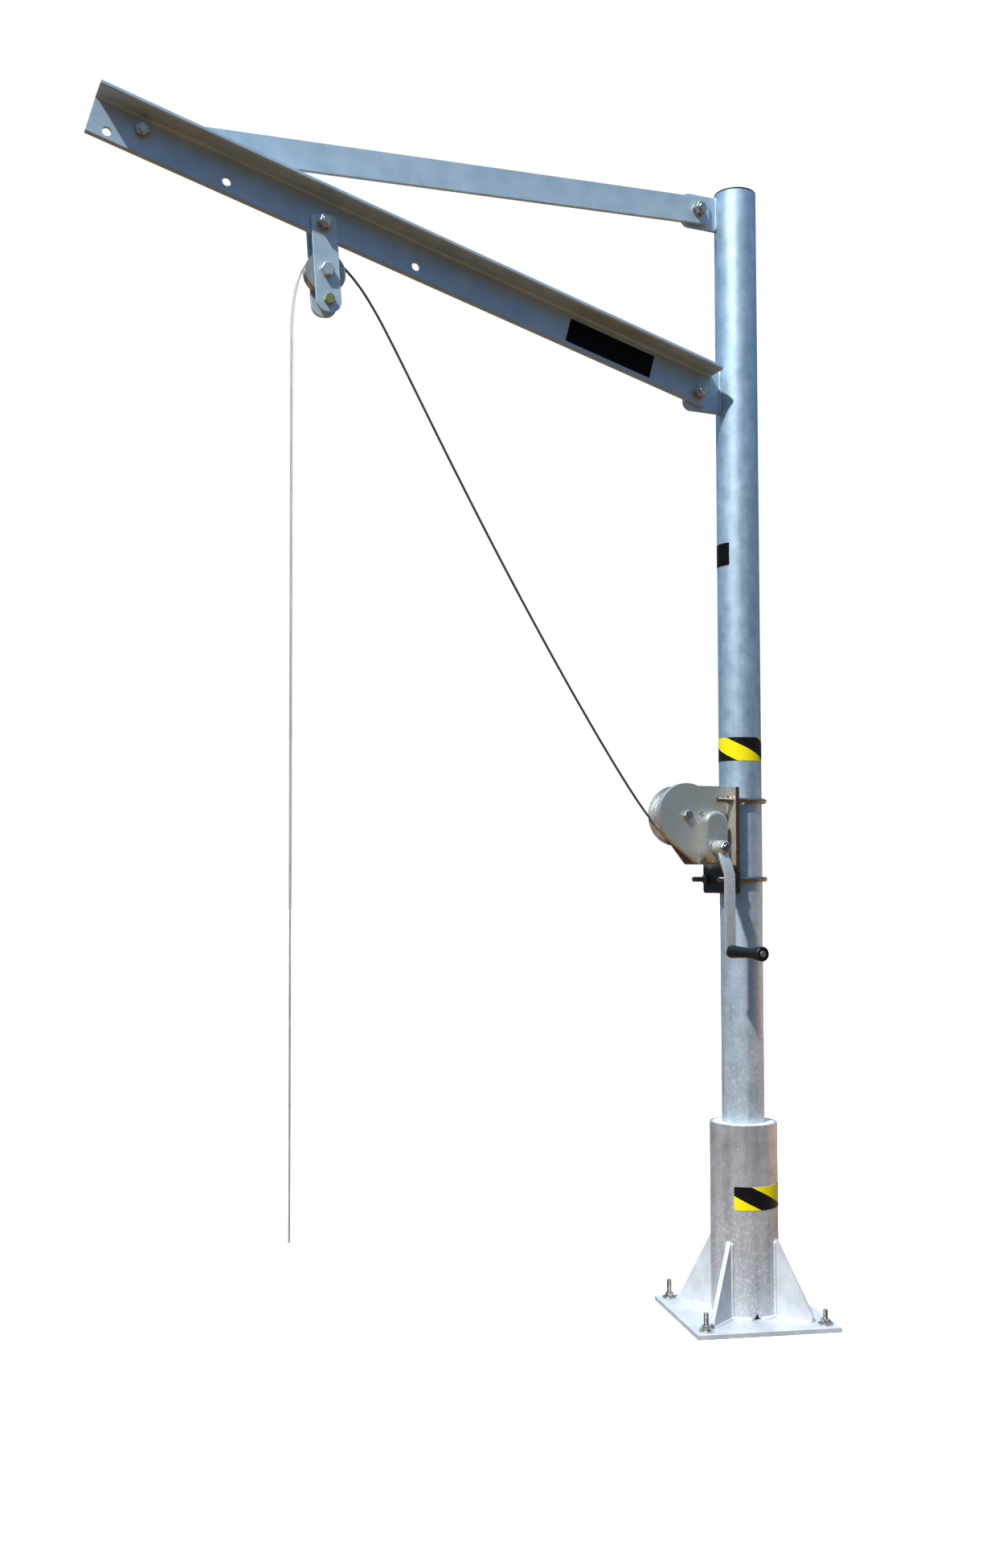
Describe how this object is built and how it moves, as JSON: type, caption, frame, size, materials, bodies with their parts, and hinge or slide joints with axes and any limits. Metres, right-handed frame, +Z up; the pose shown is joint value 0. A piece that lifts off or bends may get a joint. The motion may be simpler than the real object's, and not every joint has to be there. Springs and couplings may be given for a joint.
{
  "type": "slewing davit crane",
  "caption": "Slewing davit crane: round mast turning in a gusseted floor socket, angle jib with tie bar, pulley block, wire rope and geared hand winch.",
  "frame": {"origin": "on the slew axis, at the underside of the base plate", "axes": "+Z up along the slew axis, the jib points along -X at rest, the winch crank is on the -Y side"},
  "size_m": [1.5563, 0.4052, 2.475],
  "materials": {
    "galvanised": "hot-dip galvanised steel with a faint spangle",
    "zinc_hardware": "zinc-plated fasteners",
    "winch_steel": "zinc-plated pressed steel with a slight yellow tint",
    "gear_steel": "machined steel, lightly greased",
    "wire_rope": "galvanised stranded wire rope",
    "nylon": "natural nylon",
    "bronze": "plain bearing bronze",
    "friction_lining": "brake lining",
    "black_plastic": "moulded black plastic",
    "hazard_tape": "yellow and black diagonal hazard tape",
    "label_black": "bare black label"
  },
  "bodies": {
    "base": {"base_plate": "galvanised", "socket_tube": "galvanised", "base_gussets": "galvanised", "anchor_studs": "zinc_hardware", "anchor_washers": "zinc_hardware", "anchor_nuts": "zinc_hardware", "thrust_disc": "nylon", "lower_guide_ring": "nylon", "upper_guide_ring": "nylon", "socket_tape": "hazard_tape"},
    "mast": {"mast_foot": "galvanised", "mast_tube": "galvanised", "mast_cap": "black_plastic", "mast_tape": "hazard_tape", "mast_label": "label_black", "lower_lug": "galvanised", "upper_lug": "galvanised", "jib_beam": "galvanised", "jib_label": "label_black", "tie_bar": "galvanised", "crane_bolts": "zinc_hardware", "crane_nuts": "zinc_hardware", "crane_washers": "zinc_hardware", "hanger_spacer": "galvanised", "winch_mount_plate": "galvanised", "u_bolts": "zinc_hardware", "u_bolt_nuts": "zinc_hardware", "winch_frame": "winch_steel", "frame_bolts": "zinc_hardware", "drum_axle": "zinc_hardware", "drum_axle_nut": "zinc_hardware", "shaft_bushes": "bronze", "pawl_pin": "zinc_hardware", "brake_cover": "winch_steel", "cover_screws": "zinc_hardware", "hoist_rope": "wire_rope"},
    "block": {"strap_front": "galvanised", "strap_rear": "galvanised", "block_bolts": "zinc_hardware", "block_nuts": "zinc_hardware", "side_washers": "zinc_hardware", "lower_spacer": "galvanised"},
    "sheave": {"sheave": "gear_steel", "sheave_bush": "bronze"},
    "drum": {"drum": "winch_steel", "drum_gear": "gear_steel", "drum_bushes": "bronze", "rope_core": "wire_rope", "rope_winding": "wire_rope"},
    "crank": {"pinion_shaft": "gear_steel", "brake_plates": "gear_steel", "friction_discs": "friction_lining", "ratchet_wheel": "gear_steel", "crank_arm": "winch_steel", "crank_nut": "zinc_hardware", "grip_spindle": "zinc_hardware"},
    "grip": {"grip": "black_plastic"},
    "pawl": {"pawl": "gear_steel"}
  },
  "joints": [
    {"name": "slew", "type": "hinge", "parent": "base", "child": "mast", "pos_m": [0, 0, 0.4], "axis": [0, 0, 1], "continuous": true},
    {"name": "block_swing", "type": "hinge", "parent": "mast", "child": "block", "pos_m": [-0.92892, 0, 2.15106], "axis": [0, 1, 0], "range_deg": [-12, 16], "deforming": ["hoist_rope"]},
    {"name": "sheave_spin", "type": "hinge", "parent": "block", "child": "sheave", "pos_m": [-0.92248, 0, 2.06129], "axis": [0, 1, 0], "continuous": true},
    {"name": "drum_spin", "type": "hinge", "parent": "mast", "child": "drum", "pos_m": [-0.147, 0, 1.035], "axis": [0, 1, 0], "continuous": true},
    {"name": "crank_spin", "type": "hinge", "parent": "mast", "child": "crank", "pos_m": [-0.09467, 0, 0.96802], "axis": [0, 1, 0], "continuous": true},
    {"name": "grip_spin", "type": "hinge", "parent": "crank", "child": "grip", "pos_m": [-0.09467, -0.15, 0.75802], "axis": [0, 1, 0], "continuous": true},
    {"name": "pawl_lift", "type": "hinge", "parent": "mast", "child": "pawl", "pos_m": [-0.07997, -0.044, 1.00002], "axis": [0, 1, 0], "range_deg": [0, 12]}
  ],
  "couplings": [
    {"joint": "crank_spin", "follows": "drum_spin", "ratio": -2.4},
    {"joint": "sheave_spin", "follows": "drum_spin", "ratio": -1.1974}
  ]
}
